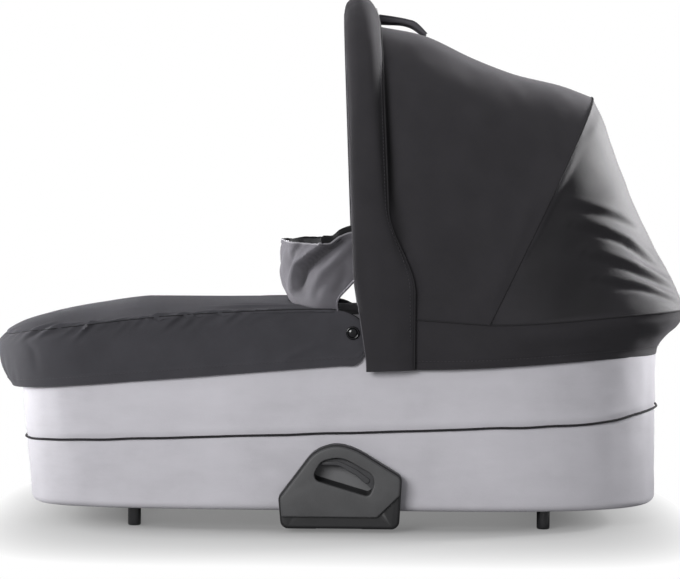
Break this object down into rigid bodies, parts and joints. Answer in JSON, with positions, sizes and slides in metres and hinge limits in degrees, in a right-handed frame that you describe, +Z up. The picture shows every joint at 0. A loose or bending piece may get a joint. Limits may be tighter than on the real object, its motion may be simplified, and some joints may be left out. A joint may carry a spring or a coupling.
{
  "type": "carrycot",
  "caption": "Fabric-covered carrycot with a folding hood, a removable foot cover with a wind collar, a mattress and latched side adapters for a pushchair chassis.",
  "frame": {"origin": "on the ground under the middle of the cot's overall box", "axes": "+X towards the head end, +Y towards the far side, +Z up"},
  "size_m": [0.8719, 0.463, 0.6587],
  "materials": {
    "light_grey_suede": "matt brushed suede-like cloth, light grey with a lavender cast",
    "charcoal_fabric": "smooth woven cloth, charcoal",
    "grey_fabric": "soft woven cloth, mid grey",
    "lining": "plain cotton lining, grey",
    "mattress_ticking": "quilted ticking, off-white",
    "panel_board": "stiff flexible board, plain",
    "moulded_plastic": "injection-moulded, fine satin grain, near black",
    "gloss_plastic": "injection-moulded, glossy black",
    "aluminium": "drawn tube and flat bar, satin",
    "steel": "zinc-plated steel",
    "dark_chrome": "polished dark nickel"
  },
  "bodies": {
    "cot": {"body_cover": "light_grey_suede", "body_cord": "charcoal_fabric", "hood_skirt": "charcoal_fabric", "inner_lining": "lining", "mattress": "mattress_ticking", "wall_panel": "panel_board", "base_tray": "moulded_plastic", "adapter_housing_near": "moulded_plastic", "adapter_housing_far": "moulded_plastic", "foot_1": "gloss_plastic", "foot_2": "gloss_plastic", "foot_3": "gloss_plastic", "foot_4": "gloss_plastic", "rim_frame": "aluminium", "upright_near": "aluminium", "upright_far": "aluminium", "hood_bracket_near": "aluminium", "hood_bracket_far": "aluminium", "hood_pin_near": "steel", "hood_pin_far": "steel", "latch_spring_near": "steel", "latch_spring_far": "steel", "housing_screw_near_1": "steel", "housing_screw_near_2": "steel", "housing_screw_far_1": "steel", "housing_screw_far_2": "steel", "stud_post_near": "dark_chrome", "stud_post_far": "dark_chrome"},
    "mid_hood": {"mid_bow": "aluminium", "canopy_front": "charcoal_fabric", "canopy_rear": "charcoal_fabric"},
    "front_hood": {"front_bow": "aluminium", "visor": "charcoal_fabric", "carry_handle": "grey_fabric"},
    "apron": {"foot_cover": "charcoal_fabric", "wind_collar": "grey_fabric", "stud_cap_near": "dark_chrome", "stud_cap_far": "dark_chrome"},
    "lever_near": {"release_lever_near": "gloss_plastic"},
    "lever_far": {"release_lever_far": "gloss_plastic"},
    "bolt_near": {"latch_bolt_near": "steel"},
    "bolt_far": {"latch_bolt_far": "steel"}
  },
  "joints": [
    {"name": "mid_bow_fold", "type": "hinge", "parent": "cot", "child": "mid_hood", "pos_m": [0.113, 0, 0.2205], "axis": [0, 1, 0], "range_deg": [0, 30], "deforming": ["canopy_rear"]},
    {"name": "front_bow_fold", "type": "hinge", "parent": "mid_hood", "child": "front_hood", "pos_m": [0.113, 0, 0.2205], "axis": [0, 1, 0], "range_deg": [0, 50], "deforming": ["canopy_front"]},
    {"name": "apron_lift", "type": "slide", "parent": "cot", "child": "apron", "axis": [0, 0, 1], "range_m": [0, 0.045]},
    {"name": "lever_press_near", "type": "slide", "parent": "cot", "child": "lever_near", "axis": [0.2251, 0, 0.9743], "range_m": [0, 0.007], "stiffness_N_per_m": 300, "springref_m": -0.004},
    {"name": "bolt_draw_near", "type": "slide", "parent": "cot", "child": "bolt_near", "axis": [1, 0, 0], "range_m": [0, 0.007], "stiffness_N_per_m": 500, "springref_m": -0.004, "deforming": ["latch_spring_near"]},
    {"name": "lever_press_far", "type": "slide", "parent": "cot", "child": "lever_far", "axis": [0.2251, 0, 0.9743], "range_m": [0, 0.007], "stiffness_N_per_m": 300, "springref_m": -0.004},
    {"name": "bolt_draw_far", "type": "slide", "parent": "cot", "child": "bolt_far", "axis": [1, 0, 0], "range_m": [0, 0.007], "stiffness_N_per_m": 500, "springref_m": -0.004, "deforming": ["latch_spring_far"]}
  ],
  "couplings": [
    {"joint": "front_bow_fold", "follows": "mid_bow_fold", "ratio": 1.6666},
    {"joint": "bolt_draw_near", "follows": "lever_press_near", "ratio": 1},
    {"joint": "bolt_draw_far", "follows": "lever_press_far", "ratio": 1}
  ]
}
